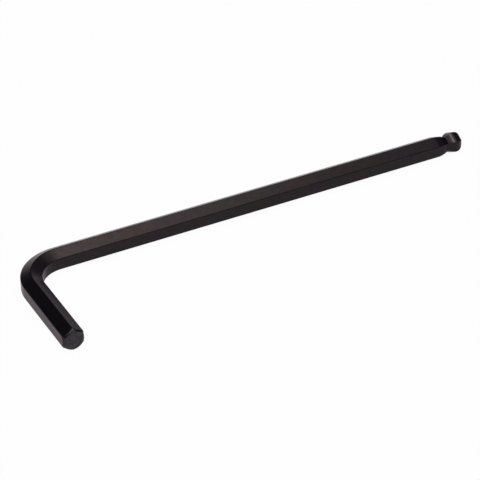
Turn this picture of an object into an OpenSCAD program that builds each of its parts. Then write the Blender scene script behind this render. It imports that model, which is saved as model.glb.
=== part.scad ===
// Ball-end hex key: one bar of hexagonal steel, bent once into an L.
// It lies as it does on a bench, with +Z up. The long arm runs along +X and ends in the ball,
// and the short arm runs along -Y. One flat of the hexagon faces the inside of the bend, so the
// key lies on the edge below. The origin is on the bench, below the middle of the whole key.

/* [Hexagon] */
// Width across two opposite flats, which is the nominal size of the key
across_flats = 5; // [4:0.5:8]
// Radius of the six long edges, as drawn bar has them
edge_r = 0.3; // [0.1:0.05:0.4]

/* [Arms] */
// Overall length of the long arm, from the outside of the short arm to the tip of the ball
long_arm = 120; // [80:1:220]
// Overall length of the short arm, from the outside of the long arm to its end face
short_arm = 33; // [24:1:60]
// Radius of the flat on the inside of the bend
bend_inner_r = 7; // [3:0.5:10]

/* [Ball end] */
// How far each milled face of the ball lies below the flats of the bar
ball_under = 0.05; // [0.01:0.01:0.2]
// Distance from the tip back to the centre of the ball
ball_back = 1.9; // [1.2:0.1:2.2]
// Depth of the neck below the flats of the bar
neck_depth = 0.75; // [0.3:0.05:1]
// Length of the straight neck between the shoulder and the ball
neck_length = 0.4; // [0.2:0.05:1.5]
// Radius of the curve that rolls the shoulder in to the neck
shoulder_r = 9; // [5:0.5:16]

/* [Short end] */
// Diameter of the flat face inside the chamfer
end_face_d = 4.5; // [3.2:0.1:5]
// Angle of the chamfer, measured from the end face
chamfer_angle = 45; // [20:5:60]

/* [Hidden] */
black_oxide = [0.13, 0.12, 0.12];
sides = 6;
side_angle = 360 / sides;
bend_angle = 90;
half_flats = across_flats / 2;
// Distance from the centre line to the centre of each rounded edge
edge_centre = (half_flats - edge_r) / cos(side_angle / 2);
// Distance from the centre line to the outermost line of each rounded edge
half_corners = edge_centre + edge_r;
// Radius of the bar's centre line round the bend
bend_r = bend_inner_r + half_flats;
// Height and width of the blocks and discs that cut the bar, which reach past it all round
cutter = 3 * across_flats;
// The shoulder's curve starts at a slight angle to the flats, this far past its own crown
shoulder_lead = 0.5;
// Fineness of the full circles, and steps in each rounded edge and in the ball end's curves
round_fn = 96;
edge_steps = 6;
shoulder_steps = 8;
ball_steps = 20;

// Half widths and places of the ball end, with the tip at x = 0 and the bar on the side of -x
ball_half = half_flats - ball_under;
neck_half = half_flats - neck_depth;
ball_x = -ball_back;
neck_front_x = ball_x - sqrt(pow(ball_half, 2) - pow(neck_half, 2));
neck_back_x = neck_front_x - neck_length;
// The shoulder is where two large circles overlap, and each has its centre past the other side
shoulder_drop = sqrt(pow(shoulder_r, 2) - pow(shoulder_lead, 2)) - half_flats;
shoulder_crown_x = neck_back_x - sqrt(pow(shoulder_r, 2) - pow(shoulder_drop + neck_half, 2));
shoulder_x = shoulder_crown_x + shoulder_lead;

// Section of the bar, with flats facing left and right and an edge at the top and the bottom.
// Each rounded edge turns from one flat to the next in short equal steps.
module bar_section() {
    polygon([
        for (side = [0 : sides - 1], step = [0 : edge_steps])
            let (centre_a = (side + 0.5) * side_angle, a = (side + step / edge_steps) * side_angle)
            edge_centre * [cos(centre_a), sin(centre_a)] + edge_r * [cos(a), sin(a)]
    ]);
}

// Points along an arc about a centre, from one angle to another
function arc(centre, r, from, to, steps) = [
    for (step = [0 : steps])
        let (a = from + (to - from) * step / steps)
        centre + r * [cos(a), sin(a)]
];

// Upper line that the form cutter leaves, seen from the side, from the shoulder to the tip at
// x = 0: the shoulder rolls in, the neck runs straight, and the ball rises and falls again
shoulder_line = arc([shoulder_crown_x, -shoulder_drop], shoulder_r,
    acos(shoulder_lead / shoulder_r), asin((shoulder_drop + neck_half) / shoulder_r), shoulder_steps);
ball_line = arc([ball_x, 0], ball_half,
    180 - asin(neck_half / ball_half), acos(ball_back / ball_half), ball_steps);

// What is left between two opposite milled faces of the ball end. The bar behind the shoulder
// is drawn wider than its flats, so that they stay as they are.
module ball_outline() {
    bar_line = [[shoulder_x - long_arm, cutter / 2], [shoulder_x, cutter / 2]];
    upper = concat(bar_line, shoulder_line, ball_line);
    lower = [for (i = [len(upper) - 1 : -1 : 0]) [upper[i].x, -upper[i].y]];
    polygon(concat(upper, lower));
}

// Long arm from the end of the bend to the tip, with the ball end milled on its six flats
module long_straight() {
    tip_x = long_arm - half_flats;
    intersection() {
        translate([bend_r, 0, 0])
            rotate([90, 0, 90])
                linear_extrude(tip_x - bend_r)
                    bar_section();
        milled_pair(tip_x, 0);
        milled_pair(tip_x, side_angle);
        milled_pair(tip_x, 2 * side_angle);
    }
}

// Everything between two opposite milled faces, turned about the long arm to one pair of flats
module milled_pair(tip_x, turn) {
    translate([tip_x, 0, 0])
        rotate([turn, 0, 0])
            linear_extrude(cutter, center = true)
                ball_outline();
}

module bend() {
    translate([bend_r, -bend_r, 0])
        rotate(bend_angle)
            rotate_extrude(angle = bend_angle, $fn = round_fn)
                translate([bend_r, 0])
                    bar_section();
}

// Short arm from the end of the bend to its flat end, turned to a chamfer that cuts the edges
module short_straight() {
    end_y = short_arm - half_flats;
    cone_length = cutter / 2 * tan(chamfer_angle);
    rotate([90, 0, 0])
        intersection() {
            translate([0, 0, bend_r])
                linear_extrude(end_y - bend_r)
                    bar_section();
            translate([0, 0, end_y - short_arm])
                union() {
                    cylinder(h = short_arm - cone_length, d = end_face_d + cutter, $fn = round_fn);
                    translate([0, 0, short_arm - cone_length])
                        cylinder(h = cone_length, d1 = end_face_d + cutter, d2 = end_face_d, $fn = round_fn);
                }
        }
}

module hex_key() {
    color(black_oxide)
        translate([(across_flats - long_arm) / 2, (short_arm - across_flats) / 2, half_corners])
            union() {
                long_straight();
                bend();
                short_straight();
            }
}

hex_key();
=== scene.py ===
"""Dresses the hex key: a fine mesh with softened edges, its black oxide finish and a white studio."""

import math

import bpy
import numpy as np
from mathutils import Matrix, Vector


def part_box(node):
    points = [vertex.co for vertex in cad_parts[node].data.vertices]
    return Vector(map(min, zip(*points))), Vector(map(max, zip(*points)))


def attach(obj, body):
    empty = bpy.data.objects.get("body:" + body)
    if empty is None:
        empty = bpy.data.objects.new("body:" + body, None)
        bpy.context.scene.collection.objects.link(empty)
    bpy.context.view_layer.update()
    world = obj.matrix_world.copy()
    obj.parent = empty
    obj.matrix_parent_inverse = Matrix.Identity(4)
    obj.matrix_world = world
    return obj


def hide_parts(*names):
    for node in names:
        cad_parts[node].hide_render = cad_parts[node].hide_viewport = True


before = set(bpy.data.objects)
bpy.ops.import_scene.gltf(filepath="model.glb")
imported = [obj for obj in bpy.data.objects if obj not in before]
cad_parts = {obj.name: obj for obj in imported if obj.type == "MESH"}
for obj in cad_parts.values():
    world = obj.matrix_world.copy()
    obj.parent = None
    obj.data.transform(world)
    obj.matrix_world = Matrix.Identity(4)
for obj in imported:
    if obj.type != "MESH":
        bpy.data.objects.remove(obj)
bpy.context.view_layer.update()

MM = 0.001


def mm(x, y, z):
    """A point given in millimetres, in the frame's metres."""
    return Vector((x, y, z)) * MM


# Sizes of the solid, in millimetres

# Its lowest and highest corner, from the frame
LOW, HIGH = (np.array(corner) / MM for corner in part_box("hex_key"))
# From the centre line to the flats, and the radius of the long edges
HALF_FLATS = 2.5
EDGE_R = 0.3
# Radius of the centre line round the bend
BEND_R = 9.5
# From the centre line to the milled faces of the ball and of the neck
BALL_HALF = 2.45
NECK_HALF = 1.75
# From the tip back to the centre of the ball, and the length of the straight neck
BALL_BACK = 1.9
NECK_LENGTH = 0.4
# Radius of the curve that rolls the shoulder in to the neck, and how far past its crown it starts
SHOULDER_R = 9.0
SHOULDER_LEAD = 0.5
# Radius of the flat face at the short end, and the chamfer's angle to that face in degrees
END_FACE_R = 2.25
CHAMFER_ANGLE = 45.0
# Where the straight centre lines of the two arms would cross
CORNER = np.array((LOW[0] + HALF_FLATS, HIGH[1] - HALF_FLATS, HIGH[2] / 2))
# Length of the centre line from the ball's tip to the bend, round the bend, and from end to end
STRAIGHT = HIGH[0] - CORNER[0] - BEND_R
BENT = BEND_R * math.pi / 2
WHOLE = STRAIGHT + BENT + CORNER[1] - BEND_R - LOW[1]
# Sides of the hexagon, the angle round the centre line that each takes up, and half of it
SIDES = 6
SIDE_ANGLE = math.tau / SIDES
HALF_ANGLE = SIDE_ANGLE / 2


# Camera

# Width of the photograph, the focal length in its pixels, and the width of Blender's sensor
IMAGE_PX = 480
FOCAL_PX = 2161.8
SENSOR_MM = 36.0
# Where the eye is from the key's corner, which way it looks, and which way is to its right
EYE_FROM_CORNER = mm(-142.57, -378.49, 276.95)
LOOK = Vector((0.3866, 0.73484, -0.55728))
RIGHT = Vector((0.88292, -0.46948, -0.00656))


def make_camera():
    data = bpy.data.cameras.new("camera")
    data.sensor_width = SENSOR_MM
    data.lens = FOCAL_PX / IMAGE_PX * SENSOR_MM
    data.clip_start = 0.01
    data.clip_end = 10.0
    camera = bpy.data.objects.new("camera", data)
    bpy.context.scene.collection.objects.link(camera)
    look = LOOK.normalized()
    right = (RIGHT - look * RIGHT.dot(look)).normalized()
    up = right.cross(look)
    turn = Matrix((right, up, -look)).transposed()
    camera.matrix_world = Matrix.Translation(mm(*CORNER) + EYE_FROM_CORNER) @ turn.to_4x4()
    bpy.context.scene.camera = camera


# Shape, in millimetres

# The least radius of an edge on the ball, and how far the corners of both ends' profiles are rounded
BROKEN_EDGE_R = 0.08
SOFTENING = 0.035
# A profile is softened in steps of this length, and over this many times the softening
PROFILE_STEP = 0.005
SOFTENING_REACH = 4
# A softened profile keeps a point where it has turned or run this far since the last one
MOST_TURN = math.radians(3.0)
MOST_LENGTH = 0.35
# Points in each arc of the ball's profile, and how far that profile runs on along the plain bar
ARC_POINTS = 60
BAR_LEAD = 1.0
# How far the short end's profile runs along the arm, and the width over which its chamfer meets the bar
CHAMFER_RUN = 0.9
BLEND_WIDTH = 0.05
# Places of the mesh's lines on each side of an edge, in degrees round the bar
EDGE_STEPS = (0.25, 0.55, 0.9, 1.3, 1.8, 2.4, 3.1, 4.0, 6.0, 10.0, 16.0, 23.0)
# Distance between the rings of the long arm, and points along the bend and the short arm
LONG_STEP = 4.0
BEND_POINTS = 40
SHORT_POINTS = 5
# A ring is on the tip's face down to this depth and this far inside the face's rim
FACE_DEPTH = 0.01
FACE_RIM = 0.05
# How far below the plain bar a surface is taken as milled, and as wholly cut by the chamfer
MILLED_DEPTH = 0.004
CUT_DEPTH = 0.05
# How far the wear reaches from the long edges and from the rims of the two end faces
EDGE_WEAR = 0.24
TIP_WEAR = 0.1
END_WEAR = 0.12


def around_angles():
    """Angles round the bar, close together at its six edges."""
    side = 360 / SIDES
    steps = [-step for step in reversed(EDGE_STEPS)] + [0.0, *EDGE_STEPS, side / 2]
    return np.radians([side * (edge + 0.5) + step for edge in range(SIDES) for step in steps])


def from_edge(angles):
    """The angle from the nearest edge of the hexagon."""
    return np.abs(angles % SIDE_ANGLE - HALF_ANGLE)


def section(angles, half, edge_r):
    """Distance from the centre line of a hexagon with rounded edges, at each angle round it."""
    away = from_edge(angles)
    centre = (half - edge_r) / math.cos(HALF_ANGLE)
    flat_ends = HALF_ANGLE - math.atan(math.tan(HALF_ANGLE) * (half - edge_r) / half)
    rounded = centre * np.cos(away) + np.sqrt(np.maximum(edge_r**2 - (centre * np.sin(away)) ** 2, 0))
    flat = half / np.cos(HALF_ANGLE - away)
    return np.where(away < flat_ends, rounded, flat)


def edge_radius(half):
    """Radius that is left of the bar's edges where its faces are milled down to this half width."""
    spread = 1 / math.cos(HALF_ANGLE)
    bar_corner = (HALF_FLATS - EDGE_R) * spread + EDGE_R
    left = (half * spread - bar_corner) / (spread - 1)
    return min(max(left, BROKEN_EDGE_R), half / 2)


def arc(centre, r, start, end):
    """Points of a profile along an arc, with its angles measured from the way to the tip."""
    angles = np.linspace(start, end, ARC_POINTS)
    return [(centre[0] - r * math.cos(a), centre[1] + r * math.sin(a)) for a in angles]


def ball_profile():
    """Points (distance from the tip, half width) from the middle of the tip's face to the plain bar."""
    ball = arc(
        (BALL_BACK, 0), BALL_HALF,
        math.acos(BALL_BACK / BALL_HALF), math.pi - math.asin(NECK_HALF / BALL_HALF),
    )
    neck_end = BALL_BACK + math.sqrt(BALL_HALF**2 - NECK_HALF**2) + NECK_LENGTH
    # The shoulder's circle is so large that its centre lies past the other side of the bar
    drop = math.sqrt(SHOULDER_R**2 - SHOULDER_LEAD**2) - HALF_FLATS
    crown = neck_end + math.sqrt(SHOULDER_R**2 - (drop + NECK_HALF) ** 2)
    shoulder = arc(
        (crown, -drop), SHOULDER_R,
        math.asin((drop + NECK_HALF) / SHOULDER_R), math.acos(SHOULDER_LEAD / SHOULDER_R),
    )
    return [(0, 0)] + ball + shoulder + [(crown + BAR_LEAD, HALF_FLATS)]


def end_profile():
    """Points (distance from the end, radius) from the middle of the short end's face up its chamfer."""
    rise = CHAMFER_RUN / math.tan(math.radians(CHAMFER_ANGLE))
    return [(0, 0), (0, END_FACE_R), (CHAMFER_RUN, END_FACE_R + rise)]


def softened(line):
    """A profile as dense points, with its corners slightly rounded."""
    line = np.array(line)
    lengths = np.r_[0, np.cumsum(np.hypot(*np.diff(line, axis=0).T))]
    at = np.arange(0, lengths[-1], PROFILE_STEP)
    dense = np.stack([np.interp(at, lengths, values) for values in line.T], axis=1)
    reach = int(SOFTENING_REACH * SOFTENING / PROFILE_STEP)
    weights = np.exp(-0.5 * (np.arange(-reach, reach + 1) * PROFILE_STEP / SOFTENING) ** 2)
    weights /= weights.sum()
    # Both ends are carried on by a turned copy of themselves, which keeps them in place
    padded = np.concatenate([
        2 * dense[0] - dense[reach:0:-1], dense, 2 * dense[-1] - dense[-2:-reach - 2:-1],
    ])
    return np.stack([np.convolve(values, weights, "valid") for values in padded.T], axis=1)


def thinned(line):
    """The points of a dense profile that a mesh needs: more of them where it turns."""
    heading = np.unwrap(np.arctan2(*np.gradient(line, axis=0).T[::-1]))
    kept = [0]
    for i in range(1, len(line) - 1):
        last = kept[-1]
        turned = abs(heading[i] - heading[last])
        if turned > MOST_TURN or np.hypot(*(line[i] - line[last])) > MOST_LENGTH:
            kept.append(i)
    return line[kept + [len(line) - 1]]


def soft_min(a, b):
    """The smaller of two distances, blended where they cross."""
    closeness = np.maximum(BLEND_WIDTH - np.abs(a - b), 0) / BLEND_WIDTH
    return np.minimum(a, b) - closeness**2 * BLEND_WIDTH / 4


def fade(distance, width):
    """From 1 at no distance down to nothing at about twice the width."""
    return np.exp(-(distance / width) ** 2)


def centre_line(along):
    """Place of the centre line and its outward direction, at a distance from the ball's tip."""
    turn = min(max((along - STRAIGHT) / BEND_R, 0), math.pi / 2)
    outward = np.array((-math.sin(turn), math.cos(turn), 0))
    middle = CORNER + np.array((BEND_R, -BEND_R, 0))
    before = max(STRAIGHT - along, 0)
    after = max(along - STRAIGHT - BENT, 0)
    return middle + BEND_R * outward + np.array((before, -after, 0)), outward


class Rings:
    """Rings of points round the bar's centre line, from the ball's tip to the short arm's end."""

    def __init__(self):
        self.angles = around_angles()
        self.points = []
        self.bar = []
        self.zones = []

    def add(self, along, radii, milled=0.0, faced=0.0, rim=0.0):
        """One ring. Milled, faced and rim say how far it is each of these, from 0 to 1."""
        place, outward = centre_line(along)
        across, up = radii * np.cos(self.angles), radii * np.sin(self.angles)
        self.points.append(place + np.outer(across, outward) + np.outer(up, (0, 0, 1)))
        self.bar.append(np.stack([np.full_like(across, along), across, up], axis=1))
        edge = fade(from_edge(self.angles) * radii, EDGE_WEAR) * (1 - faced)
        worn = np.maximum(edge, rim)
        zones = [worn, np.full_like(worn, milled), np.full_like(worn, faced)]
        self.zones.append(np.stack(zones, axis=1))


def add_ball_end(rings):
    """Rings from the tip's face back to the plain bar. Returns how far from the tip they end."""
    tip_half = math.sqrt(BALL_HALF**2 - BALL_BACK**2)
    for from_tip, half in thinned(softened(ball_profile()))[1:]:
        faced = from_tip < FACE_DEPTH and half < tip_half - FACE_RIM
        milled = not faced and half <= HALF_FLATS - MILLED_DEPTH
        rim = fade(math.hypot(from_tip, half - tip_half), TIP_WEAR)
        radii = section(rings.angles, half, edge_radius(half))
        rings.add(from_tip, radii, float(milled), float(faced), rim)
    return from_tip


def key_rings():
    """All the rings of the key: ball end, long arm, bend, short arm and its chamfered end."""
    rings = Rings()
    ball_end = add_ball_end(rings)
    short_end = thinned(softened(end_profile()))[:0:-1]
    plain = section(rings.angles, HALF_FLATS, EDGE_R)
    stops = np.concatenate([
        np.linspace(ball_end, STRAIGHT, int((STRAIGHT - ball_end) / LONG_STEP))[1:],
        STRAIGHT + np.linspace(0, BENT, BEND_POINTS)[1:],
        np.linspace(STRAIGHT + BENT, WHOLE - short_end[0][0], SHORT_POINTS)[1:-1],
    ])
    for along in stops:
        rings.add(along, plain)
    for from_end, r in short_end:
        radii = soft_min(plain, r)
        cut = np.clip((plain - radii) / CUT_DEPTH, 0, 1)
        rim = fade(math.hypot(from_end, r - END_FACE_R), END_WEAR)
        rings.add(WHOLE - from_end, radii, faced=cut, rim=rim)
    return rings


def make_key():
    rings = key_rings()
    count, around = len(rings.points), len(rings.angles)

    def point(ring, step):
        return ring * around + step % around

    quads = [
        (point(i, j), point(i + 1, j), point(i + 1, j + 1), point(i, j + 1))
        for i in range(count - 1) for j in range(around)
    ]
    caps = [
        tuple(point(0, j) for j in range(around)),
        tuple(point(count - 1, j) for j in reversed(range(around))),
    ]
    mesh = bpy.data.meshes.new("hex_key_fine")
    mesh.from_pydata((np.concatenate(rings.points) * MM).tolist(), [], quads + caps)
    for name, values in (("bar", rings.bar), ("zones", rings.zones)):
        layer = mesh.attributes.new(name, "FLOAT_VECTOR", "POINT")
        layer.data.foreach_set("vector", np.concatenate(values).astype(np.float32).ravel())
    mesh.shade_smooth()
    mesh.update()
    piece = bpy.data.objects.new("hex_key_fine", mesh)
    bpy.context.scene.collection.objects.link(piece)
    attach(piece, "root")
    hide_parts("hex_key")
    return piece


# Node helpers

class Nodes:
    """Short calls for making and joining the nodes of one material or world, which starts empty."""

    def __init__(self, owner):
        owner.use_nodes = True
        self.tree = owner.node_tree
        self.tree.nodes.clear()

    def make(self, kind, **values):
        node = self.tree.nodes.new(kind)
        for key, value in values.items():
            setattr(node, key, value)
        return node

    def join(self, out, into):
        self.tree.links.new(out, into)

    def put(self, value, into):
        """Joins another node's output, or sets a plain value."""
        if isinstance(value, bpy.types.NodeSocket):
            self.join(value, into)
        else:
            into.default_value = value

    def attribute(self, name):
        return self.make("ShaderNodeAttribute", attribute_name=name).outputs["Vector"]

    def separated(self, vector):
        """The three parts of a vector."""
        node = self.make("ShaderNodeSeparateXYZ")
        self.join(vector, node.inputs[0])
        return node.outputs

    def maths(self, operation, a, b=0.0):
        node = self.make("ShaderNodeMath", operation=operation)
        self.put(a, node.inputs[0])
        self.put(b, node.inputs[1])
        return node.outputs[0]

    def stretched(self, vector, factors):
        node = self.make("ShaderNodeVectorMath", operation="MULTIPLY")
        self.join(vector, node.inputs[0])
        node.inputs[1].default_value = factors
        return node.outputs[0]

    def noise(self, vector, detail=2.0, roughness=0.5):
        """Noise about one unit in size, from 0 to 1."""
        node = self.make("ShaderNodeTexNoise")
        self.join(vector, node.inputs["Vector"])
        node.inputs["Scale"].default_value = 1.0
        node.inputs["Detail"].default_value = detail
        node.inputs["Roughness"].default_value = roughness
        return node.outputs["Fac"]

    def spread(self, value, low, high, to_low=0.0, to_high=1.0):
        """Runs smoothly from to_low to to_high as the value goes from low to high, and stays there."""
        node = self.make("ShaderNodeMapRange", interpolation_type="SMOOTHSTEP")
        for into, number in zip(node.inputs, (value, low, high, to_low, to_high)):
            self.put(number, into)
        return node.outputs[0]

    def mixed(self, factor, a, b):
        """A colour between two others."""
        return self.mix_node("RGBA", (0, 6, 7), (factor, a, b)).outputs[2]

    def mixed_amount(self, factor, a, b):
        """A number between two others."""
        return self.mix_node("FLOAT", (0, 2, 3), (factor, a, b)).outputs[0]

    def mix_node(self, kind, places, values):
        node = self.make("ShaderNodeMix", data_type=kind)
        for place, value in zip(places, values):
            self.put(value, node.inputs[place])
        return node

    def mixed_shader(self, factor, a, b):
        node = self.make("ShaderNodeMixShader")
        for value, into in zip((factor, a.outputs[0], b.outputs[0]), node.inputs):
            self.join(value, into)
        return node.outputs[0]


# Finish

# Blacks of the oxide in its patches, where it is clouded, and where it is thin at the edges
BROWN_BLACK = (0.0295, 0.0215, 0.0200, 1)
VIOLET_BLACK = (0.0258, 0.0203, 0.0272, 1)
GREEN_BLACK = (0.0238, 0.0236, 0.0236, 1)
CLOUD_BLACK = (0.0315, 0.0255, 0.0268, 1)
THIN_BLACK = (0.055, 0.046, 0.044, 1)
# The darker and lighter clouds of the two cut end faces, and the tint of gloss at a low angle
CUT_DARK = (0.041, 0.036, 0.043, 1)
CUT_LIGHT = (0.060, 0.052, 0.056, 1)
GLOSS_TINT = (0.86, 0.8, 0.83, 1)
# How closely each pattern repeats: units of noise to the millimetre along the bar, across it and up.
# The greens run the other way, so that they don't follow the first patches.
PATCHES = (0.16, 0.3, 0.3)
GREENS = (-0.18, 0.35, 0.35)
CLOUDS = (0.7, 1.1, 1.1)
DRAWN = (0.12, 5.0, 5.0)
MILLED = (9.0, 0.25, 0.25)
TURNED = (0.0, 8.0, 8.0)
CLOUD_DETAIL = 5.0
CLOUD_ROUGHNESS = 0.6
# Most that the greens cover the patches, and that the thin black shows on a worn edge
GREENS_COVER = 0.85
THIN_COVER = 0.25
# How much the clouds shift the wear, and add to the grain's relief
CLOUDS_IN_WEAR = 0.5
CLOUDS_IN_RELIEF = 0.6
# Depth of the grain in millimetres
GRAIN_DEPTH = 0.002
# Roughness of the oxide, and what the clouds, the grain, the end faces and the milling change in it
ROUGHNESS = 0.15
CLOUDS_ROUGHEN = 0.10
GRAIN_ROUGHENS = 0.08
FACES_ROUGHEN = 0.05
MILLING_SMOOTHS = -0.03


def oxide_colour(n, bar, clouds, worn, faced):
    """Brown, violet and green blacks in long soft patches, clouded, and thin at the edges."""
    patches = n.spread(n.noise(n.stretched(bar, PATCHES)), low=0.38, high=0.62)
    greens = n.spread(n.noise(n.stretched(bar, GREENS)), low=0.46, high=0.62, to_high=GREENS_COVER)
    black = n.mixed(patches, BROWN_BLACK, VIOLET_BLACK)
    black = n.mixed(greens, black, GREEN_BLACK)
    black = n.mixed(n.spread(clouds, low=0.35, high=0.7), black, CLOUD_BLACK)
    cut_face = n.mixed(n.spread(clouds, low=0.4, high=0.6), CUT_DARK, CUT_LIGHT)
    black = n.mixed(faced, black, cut_face)
    wear = n.maths("ADD", worn, n.maths("MULTIPLY", clouds, CLOUDS_IN_WEAR))
    thin = n.maths("MULTIPLY", n.spread(wear, low=1.0, high=1.4), THIN_COVER)
    return n.mixed(thin, black, THIN_BLACK)


def oxide_grain(n, bar, milled, faced):
    """Grain that is drawn along the bar, cut across the ball, and turned in rings on the end faces."""
    drawn = n.noise(n.stretched(bar, DRAWN))
    cut = n.noise(n.stretched(bar, MILLED))
    radius = n.make("ShaderNodeVectorMath", operation="LENGTH")
    n.join(n.stretched(bar, TURNED), radius.inputs[0])
    turned = n.make("ShaderNodeTexNoise", noise_dimensions="1D")
    n.join(radius.outputs["Value"], turned.inputs["W"])
    turned.inputs["Scale"].default_value = 1.0
    return n.mixed_amount(faced, n.mixed_amount(milled, drawn, cut), turned.outputs["Fac"])


def black_oxide():
    material = bpy.data.materials.new("black_oxide")
    n = Nodes(material)
    bar = n.attribute("bar")
    worn, milled, faced = n.separated(n.attribute("zones"))
    clouds = n.noise(n.stretched(bar, CLOUDS), CLOUD_DETAIL, CLOUD_ROUGHNESS)
    colour = oxide_colour(n, bar, clouds, worn, faced)
    grain = oxide_grain(n, bar, milled, faced)

    rough = ROUGHNESS
    changes = (
        (clouds, CLOUDS_ROUGHEN),
        (grain, GRAIN_ROUGHENS),
        (faced, FACES_ROUGHEN),
        (milled, MILLING_SMOOTHS),
    )
    for amount, change in changes:
        rough = n.maths("ADD", rough, n.maths("MULTIPLY", amount, change))

    bump = n.make("ShaderNodeBump")
    bump.inputs["Strength"].default_value = 1.0
    bump.inputs["Distance"].default_value = GRAIN_DEPTH * MM
    n.join(n.maths("ADD", grain, n.maths("MULTIPLY", clouds, CLOUDS_IN_RELIEF)), bump.inputs["Height"])

    shader = n.make("ShaderNodeBsdfPrincipled")
    shader.inputs["Metallic"].default_value = 1.0
    shader.inputs["Specular Tint"].default_value = GLOSS_TINT
    n.join(colour, shader.inputs["Base Color"])
    n.join(rough, shader.inputs["Roughness"])
    n.join(bump.outputs[0], shader.inputs["Normal"])
    n.join(shader.outputs[0], n.make("ShaderNodeOutputMaterial").inputs[0])
    return material


# Stage

WHITE = (1, 1, 1, 1)
PAPER = (0.9, 0.9, 0.9, 1)
# Half the floor's side in metres
FLOOR_HALF = 1.5
# How much of the floor is plain white to the camera. The rest is paper, which takes the key's shadow.
FLOOR_GLOW = 0.97
# How white the floor and the low walls are in gloss
FLOOR_IN_GLOSS = 0.56
WALLS_IN_GLOSS = 0.72
# The room's colour, and its strength towards the left and the right
ROOM_COLOUR = (0.88, 0.88, 1.1, 1)
ROOM_LEFT = 0.155
ROOM_RIGHT = 0.31
# How much of that is left at the far right and at the front
FAR_RIGHT = 0.25
FRONT = 0.65
# Each soft box: name, place and aim in millimetres, the two sizes in metres, radiance and colour
SOFT_BOXES = (
    ("strip", (210, -180, 650), (210, -180, 0), (0.18, 0.85), 1.05, (1.0, 0.97, 0.86)),
    ("wide", (40, -180, 655), (40, -180, 0), (0.90, 0.85), 0.58, (1.0, 0.97, 0.89)),
    ("core", (25, -110, 640), (0, 0, 0), (0.18, 0.18), 7.0, (1.0, 0.98, 0.95)),
    ("left", (-350, -80, 645), (-350, -80, 0), (0.60, 0.45), 1.2, (0.97, 0.98, 1.0)),
)


def seen_as_white(n, in_gloss):
    """How far a ray shows plain white: wholly to the camera and through glass, and in part in gloss."""
    path = n.make("ShaderNodeLightPath")
    seen = n.maths("MAXIMUM", path.outputs["Is Camera Ray"], path.outputs["Is Transmission Ray"])
    return n.maths("MAXIMUM", seen, n.maths("MULTIPLY", path.outputs["Is Glossy Ray"], in_gloss))


def make_world():
    """White to the camera. Gloss shows a dim bluish room with pale walls low down at the back."""
    world = bpy.data.worlds.new("studio")
    n = Nodes(world)
    right, back, up = n.separated(n.make("ShaderNodeTexCoord").outputs["Generated"])
    level = n.spread(n.maths("ABSOLUTE", up), low=0.08, high=0.3, to_low=WALLS_IN_GLOSS, to_high=0.0)
    walls = n.maths("MULTIPLY", level, n.spread(back, low=-0.2, high=0.4))
    # The room is brighter to the right but dark at the far right, and it is dimmer at the front
    to_right = n.spread(right, low=0.0, high=0.75, to_low=ROOM_LEFT, to_high=ROOM_RIGHT)
    dark_side = n.spread(right, low=0.78, high=0.92, to_low=1.0, to_high=FAR_RIGHT)
    to_back = n.spread(back, low=-0.9, high=0.3, to_low=FRONT, to_high=1.0)
    strength = n.maths("MULTIPLY", n.maths("MULTIPLY", to_right, dark_side), to_back)
    room = n.make("ShaderNodeBackground")
    room.inputs["Color"].default_value = ROOM_COLOUR
    n.join(strength, room.inputs["Strength"])
    white = n.make("ShaderNodeBackground")
    white.inputs["Color"].default_value = WHITE
    shown = n.mixed_shader(seen_as_white(n, walls), room, white)
    n.join(shown, n.make("ShaderNodeOutputWorld").inputs[0])
    bpy.context.scene.world = world


def make_floor():
    mesh = bpy.data.meshes.new("floor")
    corners = [(x * FLOOR_HALF, y * FLOOR_HALF, 0) for x, y in ((-1, -1), (1, -1), (1, 1), (-1, 1))]
    mesh.from_pydata(corners, [], [(0, 1, 2, 3)])
    floor = bpy.data.objects.new("floor", mesh)
    bpy.context.scene.collection.objects.link(floor)
    material = bpy.data.materials.new("paper")
    n = Nodes(material)
    paper = n.make("ShaderNodeBsdfDiffuse")
    paper.inputs["Color"].default_value = PAPER
    glow = n.make("ShaderNodeEmission")
    glow.inputs["Color"].default_value = WHITE
    white = n.maths("MULTIPLY", seen_as_white(n, FLOOR_IN_GLOSS), FLOOR_GLOW)
    n.join(n.mixed_shader(white, paper, glow), n.make("ShaderNodeOutputMaterial").inputs[0])
    mesh.materials.append(material)


def soft_box(name, place, aim, size, radiance, colour):
    """A rectangular lamp, which shows in gloss at this radiance."""
    data = bpy.data.lights.new(name, "AREA")
    data.shape = "RECTANGLE"
    data.size, data.size_y = size
    data.energy = radiance * math.pi * size[0] * size[1]
    data.color = colour
    light = bpy.data.objects.new(name, data)
    light.location = mm(*place)
    light.rotation_mode = "QUATERNION"
    light.rotation_quaternion = (mm(*aim) - mm(*place)).to_track_quat("-Z", "Y")
    bpy.context.scene.collection.objects.link(light)


make_camera()
make_world()
make_floor()
for values in SOFT_BOXES:
    soft_box(*values)

key = make_key()
key.data.materials.append(black_oxide())

bpy.context.scene.view_settings.view_transform = "Standard"
